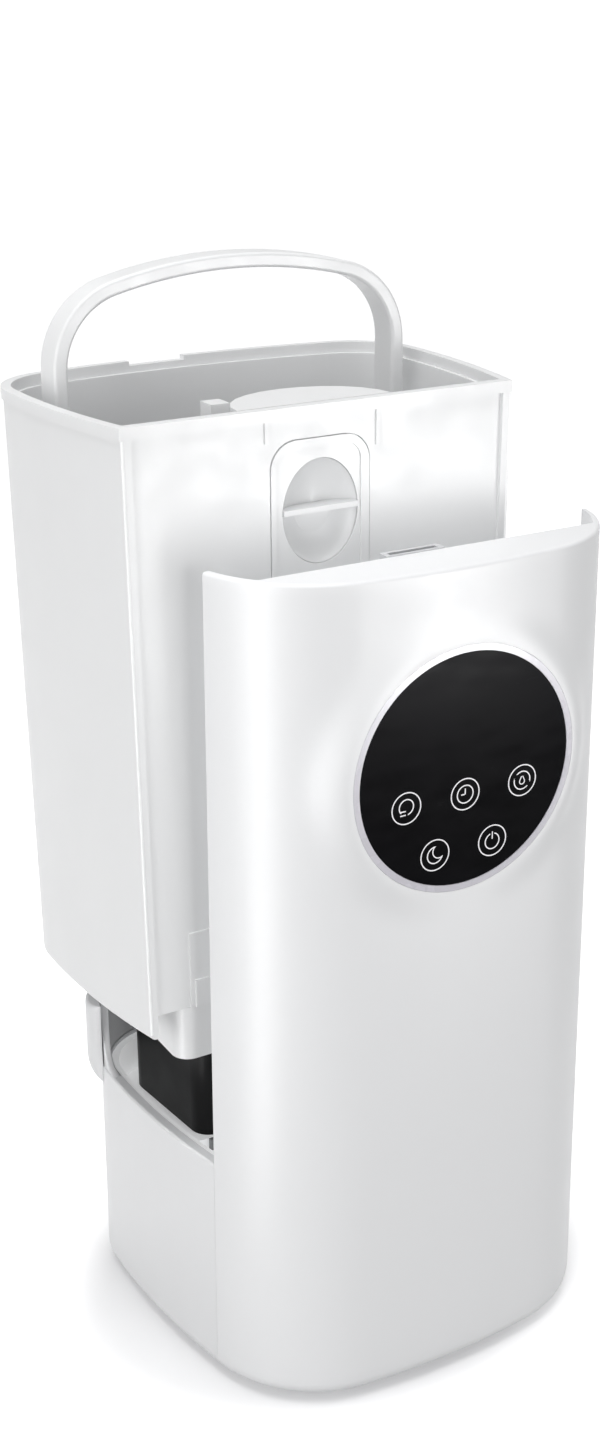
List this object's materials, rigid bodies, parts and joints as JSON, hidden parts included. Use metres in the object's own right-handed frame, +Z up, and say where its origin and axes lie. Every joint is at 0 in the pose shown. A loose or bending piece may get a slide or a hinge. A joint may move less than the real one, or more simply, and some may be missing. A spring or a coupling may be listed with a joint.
{
  "type": "humidifier",
  "caption": "White tower humidifier: curved panel with a round black touch display, low base, and a lift-off water tank with a bail handle, shown lifted clear of its seat.",
  "frame": {"origin": "on the floor under the middle of the base, at the centre of the underside of the middle foot", "axes": "+Z up, -Y towards the curved front panel and its display, +X to the right seen from the front"},
  "size_m": [0.2398, 0.1947, 0.5003],
  "materials": {
    "body_white": "fine satin moulding",
    "panel_white": "smooth semi-gloss moulding",
    "tank_white": "fine satin moulding",
    "bezel_grey": "satin lacquer",
    "dark_glass": "polished black, back-painted",
    "milky_plastic": "translucent moulding",
    "legend_grey": "printed ink",
    "board_green": "solder mask",
    "vent_grey": "satin moulding",
    "black_plastic": "satin moulding",
    "soft_grey": "matt",
    "steel": "brushed",
    "sink_metal": "extruded",
    "foot_rubber": "matt"
  },
  "bodies": {
    "base": {"base_shell": "body_white", "front_panel": "panel_white", "panel_back": "body_white", "display_bezel": "bezel_grey", "display_glass": "dark_glass", "light_diffuser": "milky_plastic", "display_carrier": "black_plastic", "touch_legends": "legend_grey", "display_board": "board_green", "sensor_vent": "vent_grey", "room_sensor": "black_plastic", "basin": "body_white", "chamber_block": "black_plastic", "chamber_gasket": "soft_grey", "transducer_ring": "soft_grey", "transducer_disc": "steel", "float_post": "body_white", "valve_pin": "body_white", "fan_housing": "black_plastic", "fan_motor": "steel", "fan_bracket": "steel", "main_board": "board_green", "board_posts": "body_white", "mist_driver": "board_green", "heat_sink": "sink_metal", "ribbon_lead": "milky_plastic", "cord_gland": "soft_grey", "floor_cover": "body_white", "rubber_feet": "foot_rubber", "cover_screws": "steel"},
    "tank": {"tank_shell": "tank_white", "tank_rim": "tank_white", "mist_duct": "tank_white", "duct_deck": "tank_white", "lid_catch": "tank_white", "tank_baffle": "tank_white", "front_ribs": "tank_white", "tank_sump": "tank_white", "valve_seat": "soft_grey", "valve_bridge": "tank_white", "handle_pivots": "tank_white"},
    "handle": {"bail_handle": "tank_white"},
    "hatch": {"hatch_plate": "tank_white", "hatch_grip": "tank_white", "hatch_gasket": "soft_grey"},
    "plunger": {"valve_plunger": "milky_plastic", "valve_spring": "steel"},
    "impeller": {"fan_impeller": "black_plastic"},
    "float": {"water_float": "milky_plastic"}
  },
  "joints": [
    {"name": "tank_lift", "type": "slide", "parent": "base", "child": "tank", "axis": [-0.4149, 0.159, 0.8959], "range_m": [-0.0742, 0.38]},
    {"name": "handle_fold", "type": "hinge", "parent": "tank", "child": "handle", "pos_m": [-0.0308, 0.0378, 0.4213], "axis": [1, 0, 0], "range_deg": [-30, 50]},
    {"name": "hatch_pull", "type": "slide", "parent": "tank", "child": "hatch", "axis": [0, -1, 0], "range_m": [0, 0.02]},
    {"name": "valve_push", "type": "slide", "parent": "tank", "child": "plunger", "axis": [0, 0, 1], "range_m": [0, 0.003], "stiffness_N_per_m": 300, "springref_m": -0.004, "deforming": ["valve_spring"]},
    {"name": "fan_spin", "type": "hinge", "parent": "base", "child": "impeller", "pos_m": [-0.034, 0.016, 0.05], "axis": [0, 0, 1], "continuous": true},
    {"name": "float_rise", "type": "slide", "parent": "base", "child": "float", "axis": [0, 0, 1], "range_m": [0, 0.012]}
  ]
}
